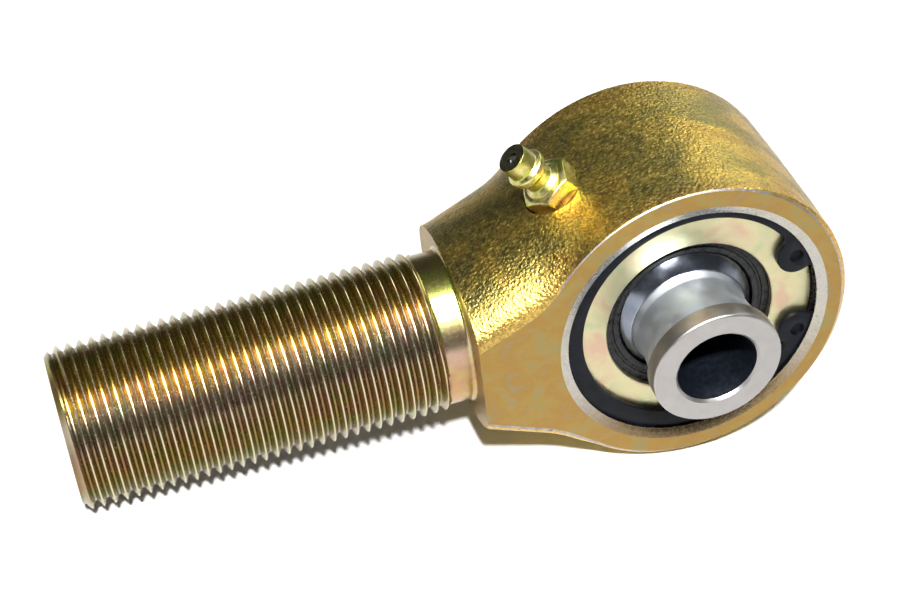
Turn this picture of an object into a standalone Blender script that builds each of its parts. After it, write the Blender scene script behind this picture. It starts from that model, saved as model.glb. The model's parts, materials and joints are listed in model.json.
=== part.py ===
"""Rod end bearing: a forged eye with a threaded shank that carries a ball between two split races.

Frame: the ball's centre is the origin, the shank runs along -X, the bore's axis is Y with the
retaining ring on the -Y side, and +Z is up, on the side of the grease fitting.
"""
import math

import bmesh
import bpy
from mathutils import Matrix, Vector

MM = 0.001
GAP = 0.3 * MM
EYE_STEPS = 72
THREAD_STEPS = 24

# Turning steps of the smaller pieces
SHANK_STEPS = 48
BALL_STEPS = 40
RACE_STEPS = 44
WASHER_STEPS = 56
POCKET_STEPS = 40
FITTING_STEPS = 36
CHAMBER_STEPS = 24
LUG_HOLE_STEPS = 20

# Threaded shank
THREAD_RADIUS = 12.7 * MM
THREAD_PITCH = 25.4 * MM / 14
THREAD_DEPTH = 0.613 * THREAD_PITCH
SHANK_END_X = -96.3 * MM
THREAD_STOP_X = -39.0 * MM
SHOULDER_X = -34.3 * MM
SHANK_CHAMFER = 1.3 * MM
# The thread is rolled up out of a smooth blank, which shows between it and the shoulder
BLANK_RADIUS = 12.0 * MM
BLANK_FILLET = 0.6 * MM
RUNOUT_LENGTH = 1.2 * MM
SHANK_FOOT = 4.0 * MM

# Forged eye and neck
EYE_RADIUS = 26.0 * MM
EYE_HALF_WIDTH = 15.875 * MM
EYE_BEVEL = 1.4 * MM
NECK_HALF_HEIGHT = 12.7 * MM
NECK_EDGE_RADIUS = 7.6 * MM
NECK_INSET = 0.25 * MM

# Stepped bore, worked from its front face towards the rear lip
BORE_RADIUS = 20.35 * MM
BORE_CHAMFER = 1.45 * MM
BORE_CHAMFER_DEPTH = 0.7 * MM
RING_GROOVE_DEPTH = 1.2 * MM
RING_GROOVE_PLAY = 0.2 * MM
WINDOW_RADIUS = 13.55 * MM
WINDOW_LAND = 1.8 * MM
LIP_MOUTH_RADIUS = 16.0 * MM

# Ball with an integral spacer neck at each side
BALL_RADIUS = 15.875 * MM
BALL_HALF_LENGTH = 25.0 * MM
BALL_NECK_RADIUS = 8.9 * MM
BALL_CORNER_ANGLE = math.radians(36.0)
COLLAR_RADIUS = 10.3 * MM
COLLAR_WIDTH = 3.0 * MM
COLLAR_STEP = 0.25 * MM
WAIST_Y = 15.4 * MM
BOLT_BORE_RADIUS = 6.4 * MM
BALL_REST_TILT = math.radians(3.2)

# Ring, washer and races, stacked from the front face towards the rear lip
RING_SETBACK = 1.075 * MM
RING_THICKNESS = 1.0 * MM
WASHER_THICKNESS = 1.2 * MM
RACE_HALF_SPLIT = 0.6 * MM
RACE_MOUTH_ANGLE = math.radians(43.0)
RACE_EDGE = 0.4 * MM
RACE_SETBACK = 0.15 * MM
# The ring's inner edge is a circle off its centre, so the ring is widest away from its gap
RING_INNER_RADIUS = 18.2 * MM
RING_INNER_CENTRE = Vector((0.4, 0.8)) * MM
RING_LUG_ORBIT = 18.7 * MM
RING_LUG_RADIUS = 3.1 * MM
RING_LUG_HOLE_RADIUS = 1.1 * MM
RING_LUG_ANGLE = math.radians(23.0)

# Grease fitting, on an axis that points at the ball's centre
FITTING_ANGLE = math.radians(128.2)
FITTING_SEAT_RADIUS = 25.2 * MM
POCKET_RADIUS = 4.9 * MM
HEX_ACROSS_FLATS = 7.94 * MM
HEX_HEIGHT = 3.3 * MM
HEX_TURN = math.radians(-16.0)
STUB_RADIUS = 3.0 * MM
STUB_LENGTH = 3.9 * MM
FITTING_HEIGHT = 10.55 * MM
FITTING_TIP_RADIUS = 2.4 * MM
FITTING_HEAD_RADIUS = 3.2 * MM
FITTING_RIM_HEIGHT = 6.6 * MM
FITTING_RIM_ROUND = 0.4 * MM
FITTING_WAIST_RADIUS = 2.25 * MM
FITTING_WAIST_TOP = 5.5 * MM
FITTING_WAIST_BOTTOM = 4.1 * MM
FITTING_SPIGOT_RADIUS = 3.1 * MM
CHECK_BALL_RADIUS = 1.19 * MM
CHAMBER_RADIUS = 1.45 * MM
TIP_HOLE_RADIUS = 0.9 * MM
GREASE_HOLE_RADIUS = 1.5 * MM
SPRING_RADIUS = 0.95 * MM
SPRING_WIRE_RADIUS = 0.16 * MM
SPRING_TURNS = 7.5
SPRING_POINTS_PER_TURN = 12
CHAMBER_FLOOR = 0.8 * MM - STUB_LENGTH
CHAMBER_MOUTH = FITTING_HEIGHT - 0.35 * MM

# Distances from the ball's centre to each piece's faces, along the bore's axis
RING_FRONT = EYE_HALF_WIDTH - RING_SETBACK
RING_REAR = RING_FRONT - RING_THICKNESS
WASHER_FRONT = RING_REAR - GAP
WASHER_REAR = WASHER_FRONT - WASHER_THICKNESS
RACE_FACE = WASHER_REAR - GAP
LIP_FACE = RACE_FACE + GAP

# Local +Z of a turned piece points to the front of the bore, which is -Y
FRONT_FACING = (math.pi / 2, 0.0, 0.0)
REAR_FACING = (-math.pi / 2, 0.0, 0.0)
# Local +Z of a turned piece points along the shank, which is -X
ALONG_SHANK = (0.0, -math.pi / 2, 0.0)


def clear_scene():
    for thing in list(bpy.data.objects):
        bpy.data.objects.remove(thing, do_unlink=True)


def new_collection(name):
    collection = bpy.data.collections.new(name)
    bpy.context.scene.collection.children.link(collection)
    return collection


def material(name, colour, metallic, roughness):
    made = bpy.data.materials.new(name)
    made.use_nodes = True
    shader = made.node_tree.nodes["Principled BSDF"]
    shader.inputs["Base Color"].default_value = (*colour, 1.0)
    shader.inputs["Metallic"].default_value = metallic
    shader.inputs["Roughness"].default_value = roughness
    return made


def add_object(name, mesh, collection, rotation=(0.0, 0.0, 0.0), location=(0.0, 0.0, 0.0)):
    thing = bpy.data.objects.new(name, mesh)
    thing.rotation_euler = rotation
    thing.location = location
    collection.objects.link(thing)
    return thing


def turned(name, profile, collection, steps, rotation=(0.0, 0.0, 0.0), closed=False):
    """Turn a (radius, height) profile about local Z; it runs down its outer side."""
    mesh = bpy.data.meshes.new(name)
    edges = [(i, i + 1) for i in range(len(profile) - 1)]
    if closed:
        edges.append((len(profile) - 1, 0))
    mesh.from_pydata([(r, 0.0, z) for r, z in profile], edges, [])
    thing = add_object(name, mesh, collection, rotation)
    screw = thing.modifiers.new("turn", "SCREW")
    screw.steps = steps
    screw.render_steps = steps
    screw.use_merge_vertices = True
    screw.merge_threshold = 0.00001
    return thing


def baked(thing):
    """Replace an object's mesh by its evaluated mesh and drop its modifiers."""
    graph = bpy.context.evaluated_depsgraph_get()
    mesh = bpy.data.meshes.new_from_object(thing.evaluated_get(graph))
    thing.modifiers.clear()
    thing.data = mesh
    return thing


def boolean(thing, other, operation):
    modifier = thing.modifiers.new(other.name, "BOOLEAN")
    modifier.operation = operation
    modifier.solver = "EXACT"
    modifier.object = other
    return modifier


def as_cutter(thing):
    thing.hide_render = True
    thing.display_type = "WIRE"
    return thing


def finish(thing, shade, angle=math.radians(32.0)):
    """Shade a piece smooth across its shallow edges and give it its material."""
    baked(thing)
    thing.data.materials.clear()
    thing.data.materials.append(shade)
    thing.data.shade_smooth()
    thing.data.set_sharp_from_angle(angle=angle)
    return thing


def arc(centre, radius, start, end, count):
    """Points of a circle arc as (radius, height) pairs, angles from the turning axis' normal."""
    points = []
    for i in range(count + 1):
        angle = start + (end - start) * i / count
        points.append((centre[0] + radius * math.cos(angle), centre[1] + radius * math.sin(angle)))
    return points


# ---------------------------------------------------------------- housing

def eye_blank(cutters):
    rim = EYE_RADIUS - EYE_BEVEL
    side = EYE_HALF_WIDTH - EYE_BEVEL
    profile = [(0.0, EYE_HALF_WIDTH), (rim, EYE_HALF_WIDTH), (EYE_RADIUS, side),
               (EYE_RADIUS, -side), (rim, -EYE_HALF_WIDTH), (0.0, -EYE_HALF_WIDTH)]
    return turned("eye_blank", profile, cutters, EYE_STEPS, FRONT_FACING)


def neck_blank(cutters):
    """Wedge from the shoulder to the eye, tangent to a circle just inside the eye's rim."""
    tangent_radius = EYE_RADIUS - NECK_INSET
    reach = math.hypot(SHOULDER_X, NECK_HALF_HEIGHT)
    heading = math.atan2(NECK_HALF_HEIGHT, SHOULDER_X) - math.acos(tangent_radius / reach)
    touch_x = tangent_radius * math.cos(heading)
    touch_z = tangent_radius * math.sin(heading)
    outline = [(SHOULDER_X, NECK_HALF_HEIGHT), (touch_x, touch_z),
               (touch_x, -touch_z), (SHOULDER_X, -NECK_HALF_HEIGHT)]
    work = bmesh.new()
    loop = [work.verts.new((x, EYE_HALF_WIDTH, z)) for x, z in outline]
    rear = work.faces.new(loop)
    extruded = bmesh.ops.extrude_face_region(work, geom=[rear])
    front = [v for v in extruded["geom"] if isinstance(v, bmesh.types.BMVert)]
    bmesh.ops.translate(work, verts=front, vec=Vector((0.0, -2.0 * EYE_HALF_WIDTH, 0.0)))
    long_edges = []
    for edge in work.edges:
        a, b = (v.co for v in edge.verts)
        along_x = abs(a.x - b.x) > MM
        if along_x:
            long_edges.append(edge)
    bmesh.ops.bevel(work, geom=long_edges, offset=NECK_EDGE_RADIUS, segments=6, profile=0.5,
                    affect="EDGES", offset_type="OFFSET")
    bmesh.ops.recalc_face_normals(work, faces=work.faces)
    mesh = bpy.data.meshes.new("neck_blank")
    work.to_mesh(mesh)
    work.free()
    return add_object("neck_blank", mesh, cutters)


def thread_helix(cutters):
    """A solid rod with a V thread, longer than the shank at both ends."""
    turns = int((THREAD_STOP_X - SHANK_END_X) / THREAD_PITCH) + 4
    root = THREAD_RADIUS - THREAD_DEPTH
    mesh = bpy.data.meshes.new("thread_helix")
    profile = [(THREAD_RADIUS, 0.0, 0.0), (root, 0.0, -0.5 * THREAD_PITCH),
               (THREAD_RADIUS, 0.0, -THREAD_PITCH)]
    mesh.from_pydata(profile, [(0, 1), (1, 2)], [])
    rod = add_object("thread_helix", mesh, cutters)
    screw = rod.modifiers.new("helix", "SCREW")
    screw.screw_offset = THREAD_PITCH
    screw.iterations = turns
    screw.steps = THREAD_STEPS
    screw.render_steps = THREAD_STEPS
    screw.use_merge_vertices = True
    screw.merge_threshold = 0.00001
    baked(rod)
    close_ends(rod.data)
    rod.rotation_euler = ALONG_SHANK
    rod.location = (THREAD_STOP_X + 2.0 * THREAD_PITCH, 0.0, 0.0)
    return rod


def close_ends(mesh):
    """Close each open end of a threaded rod with a fan to a point on the axis."""
    work = bmesh.new()
    work.from_mesh(mesh)
    bmesh.ops.remove_doubles(work, verts=work.verts, dist=0.00001)
    open_edges = [edge for edge in work.edges if edge.is_boundary]
    middle = sum((v.co.z for v in work.verts)) / len(work.verts)
    for upper in (True, False):
        rim = [e for e in open_edges if (e.verts[0].co.z > middle) == upper]
        height = sum(v.co.z for e in rim for v in e.verts) / (2 * len(rim))
        hub = work.verts.new((0.0, 0.0, height))
        for edge in rim:
            work.faces.new((edge.verts[0], edge.verts[1], hub))
    bmesh.ops.recalc_face_normals(work, faces=work.faces)
    work.to_mesh(mesh)
    work.free()


def shank(cutters):
    """Threaded rod trimmed to length, with a chamfered end and a smooth blank at the shoulder."""
    rod = thread_helix(cutters)
    length = -SHANK_END_X
    stop = -THREAD_STOP_X
    over = THREAD_RADIUS + 0.4 * MM
    buried = BLANK_RADIUS - 0.3 * MM
    chamfer = SHANK_CHAMFER + over - THREAD_RADIUS
    trim = turned("shank_trim", [(0.0, length), (THREAD_RADIUS - SHANK_CHAMFER, length),
                                 (over, length - chamfer), (over, stop + 0.4 * MM),
                                 (buried, stop - RUNOUT_LENGTH), (0.0, stop - RUNOUT_LENGTH)],
                  cutters, SHANK_STEPS, ALONG_SHANK)
    boolean(rod, as_cutter(trim), "INTERSECT")
    baked(rod)
    shoulder = -SHOULDER_X
    fillet = BLANK_FILLET
    root = THREAD_RADIUS - THREAD_DEPTH
    inside_neck = shoulder - SHANK_FOOT
    blank_profile = [(0.0, stop + RUNOUT_LENGTH), (root - 0.15 * MM, stop + RUNOUT_LENGTH),
                     (BLANK_RADIUS, stop), (BLANK_RADIUS, shoulder + fillet),
                     (BLANK_RADIUS + 0.35 * fillet, shoulder + 0.35 * fillet),
                     (BLANK_RADIUS + fillet, shoulder - 0.02 * MM),
                     (BLANK_RADIUS + fillet, inside_neck), (0.0, inside_neck)]
    blank = turned("shank_blank", blank_profile, cutters, SHANK_STEPS, ALONG_SHANK)
    boolean(rod, as_cutter(blank), "UNION")
    return baked(rod)


def bore_cutter(cutters):
    front = EYE_HALF_WIDTH
    over = front + 2.0 * MM
    slope = BORE_CHAMFER / BORE_CHAMFER_DEPTH
    groove_top = RING_FRONT + RING_GROOVE_PLAY
    groove_bottom = RING_REAR - RING_GROOVE_PLAY
    groove = BORE_RADIUS + RING_GROOVE_DEPTH
    floor = -LIP_FACE
    land = floor - WINDOW_LAND
    profile = [(0.0, over), (BORE_RADIUS + BORE_CHAMFER + slope * 2.0 * MM, over),
               (BORE_RADIUS, front - BORE_CHAMFER_DEPTH), (BORE_RADIUS, groove_top),
               (groove, groove_top), (groove, groove_bottom), (BORE_RADIUS, groove_bottom),
               (BORE_RADIUS, floor), (WINDOW_RADIUS, floor), (WINDOW_RADIUS, land),
               (LIP_MOUTH_RADIUS, -front), (LIP_MOUTH_RADIUS + MM, -front - MM),
               (LIP_MOUTH_RADIUS + MM, -over), (0.0, -over)]
    return as_cutter(turned("bore_cutter", profile, cutters, EYE_STEPS, FRONT_FACING))


def fitting_cutter(cutters, axis_empty):
    """Spot-faced pocket, fitting hole and grease passage on the fitting's own axis."""
    hole = STUB_RADIUS + GAP
    bottom = -STUB_LENGTH - GAP
    through = -(FITTING_SEAT_RADIUS - BORE_RADIUS) - 2.0 * MM
    profile = [(0.0, 14.0 * MM), (POCKET_RADIUS + 0.6 * MM, 14.0 * MM), (POCKET_RADIUS, 0.0),
               (hole, 0.0), (hole, bottom), (GREASE_HOLE_RADIUS, bottom),
               (GREASE_HOLE_RADIUS, through), (0.0, through)]
    cutter = turned("fitting_cutter", profile, cutters, POCKET_STEPS)
    cutter.parent = axis_empty
    return as_cutter(cutter)


def forged_housing(parts, cutters, axis_empty, shade):
    housing = eye_blank(parts)
    housing.name = "forged_housing"
    baked(housing)
    neck = as_cutter(neck_blank(cutters))
    boolean(housing, neck, "UNION")
    stem = as_cutter(shank(cutters))
    boolean(housing, stem, "UNION")
    boolean(housing, bore_cutter(cutters), "DIFFERENCE")
    boolean(housing, fitting_cutter(cutters, axis_empty), "DIFFERENCE")
    return finish(housing, shade)


# ---------------------------------------------------------------- ball and races

def ball_profile():
    """Outer side from the front end face to the rear one, then back through the bolt bore."""
    end = BALL_HALF_LENGTH
    edge = 0.35 * MM
    collar_back = end - COLLAR_WIDTH
    collar_root = COLLAR_RADIUS - COLLAR_STEP
    corner = (BALL_RADIUS * math.sin(BALL_CORNER_ANGLE), BALL_RADIUS * math.cos(BALL_CORNER_ANGLE))
    half = [(COLLAR_RADIUS - edge, end), (COLLAR_RADIUS, end - edge),
            (COLLAR_RADIUS, collar_back + edge), (collar_root, collar_back)]
    flare_steps = 4
    for i in range(1, flare_steps + 1):
        t = i / flare_steps
        half.append((BALL_NECK_RADIUS + (collar_root - BALL_NECK_RADIUS) * (1.0 - t) ** 2,
                     collar_back + (WAIST_Y - collar_back) * t))
    half.append((BALL_NECK_RADIUS + 0.25 * (corner[0] - BALL_NECK_RADIUS), 0.5 * (WAIST_Y + corner[1])))
    sphere_steps = 7
    for i in range(sphere_steps + 1):
        angle = BALL_CORNER_ANGLE + (math.pi / 2 - BALL_CORNER_ANGLE) * i / sphere_steps
        half.append((BALL_RADIUS * math.sin(angle), BALL_RADIUS * math.cos(angle)))
    rear = [(r, -z) for r, z in reversed(half[:-1])]
    bore_edge = 0.4 * MM
    bore = [(BOLT_BORE_RADIUS + bore_edge, -end), (BOLT_BORE_RADIUS, -end + bore_edge),
            (BOLT_BORE_RADIUS, end - bore_edge), (BOLT_BORE_RADIUS + bore_edge, end)]
    return half + rear + bore


def ball(parts, tilt_empty, shade):
    thing = turned("ball", ball_profile(), parts, BALL_STEPS, FRONT_FACING, closed=True)
    thing.parent = tilt_empty
    return finish(thing, shade)


def race_profile():
    """Front race half: flat faces, a cylindrical back and a spherical seat."""
    seat = BALL_RADIUS + GAP
    outer = BORE_RADIUS - GAP
    seat_start = math.asin(RACE_HALF_SPLIT / seat)
    seat_end = math.pi / 2 - RACE_MOUTH_ANGLE
    profile = [(WINDOW_RADIUS - RACE_SETBACK, RACE_FACE), (outer - RACE_EDGE, RACE_FACE),
               (outer, RACE_FACE - RACE_EDGE), (outer, RACE_HALF_SPLIT)]
    profile += arc((0.0, 0.0), seat, seat_start, seat_end, 6)
    return profile


def race(name, parts, rotation, shade):
    return finish(turned(name, race_profile(), parts, RACE_STEPS, rotation, closed=True), shade)


# ---------------------------------------------------------------- retaining parts

def retaining_washer(parts, shade):
    outer = BORE_RADIUS - GAP
    edge = 0.3 * MM
    profile = [(WINDOW_RADIUS + edge, WASHER_FRONT), (outer, WASHER_FRONT), (outer, WASHER_REAR),
               (WINDOW_RADIUS, WASHER_REAR), (WINDOW_RADIUS, WASHER_FRONT - edge)]
    return finish(turned("retaining_washer", profile, parts, WASHER_STEPS, FRONT_FACING, closed=True), shade)


def inner_edge(angle):
    """Distance of the ring's inner edge from the bore's axis at an angle from +X."""
    away = Vector((math.cos(angle), math.sin(angle)))
    along = RING_INNER_CENTRE.dot(away)
    return along + math.sqrt(along ** 2 + RING_INNER_RADIUS ** 2 - RING_INNER_CENTRE.length_squared)


def inside_ring(x, z):
    """Whether a lug's point stands clear of the ring's own band, or lies on the gap's side of the lug."""
    angle = math.atan2(z, x)
    return abs(angle) < RING_LUG_ANGLE or math.hypot(x, z) < inner_edge(angle)


def ring_outline():
    """Tapered open ring with a rounded lug at each end, as (x, z) points, gap towards +X."""
    outer = BORE_RADIUS + RING_GROOVE_DEPTH - GAP
    lug = RING_LUG_ANGLE
    lug_half = math.asin(RING_LUG_RADIUS / RING_LUG_ORBIT)
    gap_edge = lug - lug_half
    body_start = lug + lug_half
    points = []
    outer_steps = 72
    for i in range(outer_steps + 1):
        angle = gap_edge + 0.02 + (2.0 * math.pi - 2.0 * gap_edge - 0.04) * i / outer_steps
        points.append((outer * math.cos(angle), outer * math.sin(angle)))
    centre = Vector((RING_LUG_ORBIT * math.cos(lug), RING_LUG_ORBIT * math.sin(lug)))
    lug_points = []
    lug_steps = 8
    for i in range(lug_steps + 1):
        angle = lug - math.pi / 2 - math.pi * i / lug_steps
        lug_points.append((centre.x + RING_LUG_RADIUS * math.cos(angle),
                           centre.y + RING_LUG_RADIUS * math.sin(angle)))
    points += [(x, -z) for x, z in lug_points if inside_ring(x, -z)]
    inner_steps = 56
    for i in range(inner_steps + 1):
        angle = 2.0 * math.pi - body_start - (2.0 * math.pi - 2.0 * body_start) * i / inner_steps
        radius = inner_edge(angle)
        points.append((radius * math.cos(angle), radius * math.sin(angle)))
    points += [(x, z) for x, z in reversed(lug_points) if inside_ring(x, z)]
    return points


def snap_ring(parts, cutters, shade):
    outline = ring_outline()
    work = bmesh.new()
    loop = [work.verts.new((x, -RING_REAR, z)) for x, z in outline]
    rear = work.faces.new(loop)
    extruded = bmesh.ops.extrude_face_region(work, geom=[rear])
    front = [v for v in extruded["geom"] if isinstance(v, bmesh.types.BMVert)]
    bmesh.ops.translate(work, verts=front, vec=Vector((0.0, -RING_THICKNESS, 0.0)))
    bmesh.ops.recalc_face_normals(work, faces=work.faces)
    mesh = bpy.data.meshes.new("snap_ring")
    work.to_mesh(mesh)
    work.free()
    ring = add_object("snap_ring", mesh, parts)
    for side in (1.0, -1.0):
        depth = 6.0 * MM
        profile = [(0.0, depth), (RING_LUG_HOLE_RADIUS, depth),
                   (RING_LUG_HOLE_RADIUS, -depth), (0.0, -depth)]
        hole = turned("lug_hole", profile, cutters, LUG_HOLE_STEPS, FRONT_FACING)
        hole.location = (RING_LUG_ORBIT * math.cos(RING_LUG_ANGLE), -RING_REAR,
                         side * RING_LUG_ORBIT * math.sin(RING_LUG_ANGLE))
        boolean(ring, as_cutter(hole), "DIFFERENCE")
    return finish(ring, shade)


# ---------------------------------------------------------------- grease fitting

def grease_fitting_body(parts, cutters, axis_empty, shade):
    hex_radius = HEX_ACROSS_FLATS / 2 / math.cos(math.pi / 6)
    bpy.ops.mesh.primitive_cone_add(vertices=6, radius1=hex_radius, radius2=hex_radius,
                                    depth=HEX_HEIGHT, location=(0.0, 0.0, HEX_HEIGHT / 2 + 0.02 * MM))
    body = bpy.context.active_object
    body.data.transform(Matrix.Rotation(HEX_TURN, 4, "Z"))
    for holder in list(body.users_collection):
        holder.objects.unlink(body)
    parts.objects.link(body)
    body.name = "grease_fitting_body"
    crown = turned("hex_crown", [(0.0, 12.0 * MM), (3.0 * MM, HEX_HEIGHT + 0.3 * MM),
                                 (hex_radius + 0.6 * MM, HEX_HEIGHT - 0.75 * MM),
                                 (hex_radius + 0.6 * MM, -MM), (0.0, -MM)], cutters, FITTING_STEPS)
    boolean(body, as_cutter(crown), "INTERSECT")
    rim, soft = FITTING_RIM_HEIGHT, FITTING_RIM_ROUND
    stub_edge = 0.4 * MM
    stem_profile = [(0.0, FITTING_HEIGHT), (FITTING_TIP_RADIUS, FITTING_HEIGHT),
                    (FITTING_HEAD_RADIUS - 0.3 * soft, rim + soft), (FITTING_HEAD_RADIUS, rim),
                    (FITTING_HEAD_RADIUS - 0.3 * soft, rim - soft),
                    (FITTING_WAIST_RADIUS, FITTING_WAIST_TOP), (FITTING_WAIST_RADIUS, FITTING_WAIST_BOTTOM),
                    (FITTING_SPIGOT_RADIUS, HEX_HEIGHT + 0.2 * MM), (FITTING_SPIGOT_RADIUS, 1.0 * MM),
                    (STUB_RADIUS, 0.9 * MM),
                    (STUB_RADIUS, stub_edge - STUB_LENGTH), (STUB_RADIUS - stub_edge, -STUB_LENGTH),
                    (0.0, -STUB_LENGTH)]
    stem = turned("fitting_stem", stem_profile, cutters, FITTING_STEPS)
    boolean(body, as_cutter(stem), "UNION")
    inlet = 0.8 * MM
    chamber_profile = [(0.0, 12.0 * MM), (TIP_HOLE_RADIUS, 12.0 * MM), (TIP_HOLE_RADIUS, CHAMBER_MOUTH),
                       (CHAMBER_RADIUS, FITTING_HEIGHT - 1.2 * MM), (CHAMBER_RADIUS, CHAMBER_FLOOR),
                       (inlet, CHAMBER_FLOOR), (inlet, -STUB_LENGTH - MM), (0.0, -STUB_LENGTH - MM)]
    chamber = turned("fitting_chamber", chamber_profile, cutters, CHAMBER_STEPS)
    boolean(body, as_cutter(chamber), "DIFFERENCE")
    baked(body)
    body.parent = axis_empty
    return finish(body, shade)


def check_ball_height():
    """Height where the ball rests a little below the edge of the tip's hole."""
    below_edge = 0.12 * MM
    return CHAMBER_MOUTH - math.sqrt(CHECK_BALL_RADIUS ** 2 - TIP_HOLE_RADIUS ** 2) - below_edge


def fitting_check_ball(parts, axis_empty, shade):
    mesh = bpy.data.meshes.new("fitting_check_ball")
    work = bmesh.new()
    bmesh.ops.create_uvsphere(work, u_segments=16, v_segments=10, radius=CHECK_BALL_RADIUS)
    work.to_mesh(mesh)
    work.free()
    thing = add_object("fitting_check_ball", mesh, parts, location=(0.0, 0.0, check_ball_height()))
    thing.parent = axis_empty
    return finish(thing, shade)


def fitting_spring(parts, axis_empty, shade):
    """Coil spring between the chamber's floor and the check ball."""
    low = CHAMBER_FLOOR + SPRING_WIRE_RADIUS + 0.1 * MM
    high = check_ball_height() - CHECK_BALL_RADIUS + 0.15 * MM
    count = int(SPRING_TURNS * SPRING_POINTS_PER_TURN)
    curve = bpy.data.curves.new("fitting_spring", "CURVE")
    curve.dimensions = "3D"
    curve.bevel_depth = SPRING_WIRE_RADIUS
    curve.bevel_resolution = 1
    curve.use_fill_caps = True
    spline = curve.splines.new("POLY")
    spline.points.add(count)
    for i in range(count + 1):
        angle = 2.0 * math.pi * i / SPRING_POINTS_PER_TURN
        height = low + (high - low) * i / count
        x, y = SPRING_RADIUS * math.cos(angle), SPRING_RADIUS * math.sin(angle)
        spline.points[i].co = (x, y, height, 1.0)
    thing = add_object("fitting_spring", curve, parts)
    thing.parent = axis_empty
    curve.materials.append(shade)
    return thing


def fitting_axis(parts):
    """Empty at the fitting's seat, with local +Z along the fitting's axis, away from the ball."""
    empty = bpy.data.objects.new("fitting_axis", None)
    empty.location = (FITTING_SEAT_RADIUS * math.cos(FITTING_ANGLE), 0.0,
                      FITTING_SEAT_RADIUS * math.sin(FITTING_ANGLE))
    empty.rotation_euler = (0.0, math.pi / 2 - FITTING_ANGLE, 0.0)
    parts.objects.link(empty)
    return empty


def ball_tilt_axis(parts):
    """Empty at the ball's centre, tipped about X so that the ball's front end points slightly down."""
    empty = bpy.data.objects.new("ball_tilt_axis", None)
    empty.rotation_euler = (BALL_REST_TILT, 0.0, 0.0)
    parts.objects.link(empty)
    return empty


def build():
    clear_scene()
    parts = new_collection("rod_end_bearing")
    cutters = new_collection("cutters")
    seat = fitting_axis(parts)
    tilt = ball_tilt_axis(parts)
    bpy.context.view_layer.update()

    zinc = material("yellow_zinc_forging", (0.48, 0.34, 0.10), 1.0, 0.42)
    forged_housing(parts, cutters, seat, zinc)
    ball(parts, tilt, material("polished_steel", (0.56, 0.55, 0.53), 1.0, 0.22))
    for name, facing in (("race_front", FRONT_FACING), ("race_rear", REAR_FACING)):
        race(name, parts, facing, material("black_acetal", (0.015, 0.015, 0.018), 0.0, 0.35))
    retaining_washer(parts, material("pale_zinc_washer", (0.70, 0.66, 0.42), 1.0, 0.36))
    snap_ring(parts, cutters, material("blued_spring_steel", (0.05, 0.055, 0.075), 0.7, 0.4))
    grease_fitting_body(parts, cutters, seat, material("yellow_zinc_fitting", (0.72, 0.60, 0.22), 1.0, 0.25))
    fitting_check_ball(parts, seat, material("bearing_steel", (0.62, 0.62, 0.62), 1.0, 0.15))
    fitting_spring(parts, seat, material("spring_wire", (0.45, 0.45, 0.46), 1.0, 0.3))


build()
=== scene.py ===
"""Looks of the rod end bearing: a yellow-zinc forging with a grease fitting, a polished ball in black
races, a plated washer and a blued snap ring, on a pale floor.

Frame: metres, the ball's centre at the origin, shank along -X, bore along Y with its front at -Y, +Z up.
Outer sizes of the pieces come from the frame; the rest are the named values below.
"""
import json
from math import acos, asin, atan2, ceil, cos, hypot, pi, radians, sin, sqrt, tan

import bmesh
import bpy
import numpy as np
from mathutils import Matrix, Vector, noise


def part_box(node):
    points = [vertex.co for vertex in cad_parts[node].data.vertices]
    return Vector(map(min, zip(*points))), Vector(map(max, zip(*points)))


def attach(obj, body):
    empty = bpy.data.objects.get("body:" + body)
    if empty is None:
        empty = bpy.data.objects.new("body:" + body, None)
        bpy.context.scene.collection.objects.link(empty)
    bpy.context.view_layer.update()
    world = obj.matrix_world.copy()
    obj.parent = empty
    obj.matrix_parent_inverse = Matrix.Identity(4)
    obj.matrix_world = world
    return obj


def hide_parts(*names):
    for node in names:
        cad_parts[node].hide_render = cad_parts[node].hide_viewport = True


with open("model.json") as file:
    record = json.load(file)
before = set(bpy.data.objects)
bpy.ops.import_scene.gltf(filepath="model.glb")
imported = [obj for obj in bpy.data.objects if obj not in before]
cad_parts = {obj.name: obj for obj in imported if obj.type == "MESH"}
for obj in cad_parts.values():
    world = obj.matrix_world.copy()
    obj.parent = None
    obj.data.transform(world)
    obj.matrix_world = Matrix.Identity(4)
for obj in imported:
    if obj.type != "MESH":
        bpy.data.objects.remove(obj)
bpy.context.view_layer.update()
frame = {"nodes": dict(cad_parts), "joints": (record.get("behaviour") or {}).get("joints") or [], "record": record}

MM = 0.001
TAU = 2.0 * pi

# ---- sizes read from the frame
HOUSING_LOW, HOUSING_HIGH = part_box("forged_housing")
RING_LOW, RING_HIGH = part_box("snap_ring")
WASHER_LOW, WASHER_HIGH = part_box("retaining_washer")
RACE_LOW, RACE_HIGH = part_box("race_front")
MOUNTS = {mount["name"]: mount for mount in frame["record"]["mounts"]}
JOINTS = {joint["name"]: joint for joint in frame["joints"]}

EYE_RADIUS = HOUSING_HIGH.x
HALF_WIDTH = HOUSING_HIGH.y
SHANK_END = HOUSING_LOW.x
RING_FRONT, RING_REAR = -RING_LOW.y, -RING_HIGH.y
RING_OUTER = RING_HIGH.z
WASHER_FRONT, WASHER_REAR = -WASHER_LOW.y, -WASHER_HIGH.y
WASHER_OUTER = WASHER_HIGH.x
RACE_FACE = -RACE_LOW.y
RACE_OUTER = RACE_HIGH.x
BALL_AXIS = Vector(MOUNTS["bolt_bore"]["axis"]).normalized()
FITTING_AXIS = -Vector(JOINTS["check_ball_slide"]["axis"]).normalized()

# ---- sizes of this model
GAP = 0.3 * MM
FORWARD = (0, -1, 0)

# Camera
CAMERA_AZIMUTH = radians(-12.327)
CAMERA_ELEVATION = radians(38.681)
CAMERA_ROLL = radians(-7.427)
CAMERA_TARGET = Vector((-32.8, 6.4, -0.5)) * MM
CAMERA_DISTANCE = 364.0 * MM
CAMERA_LENS = 92.0
FLOOR_TILT = radians(8.02)

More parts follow.
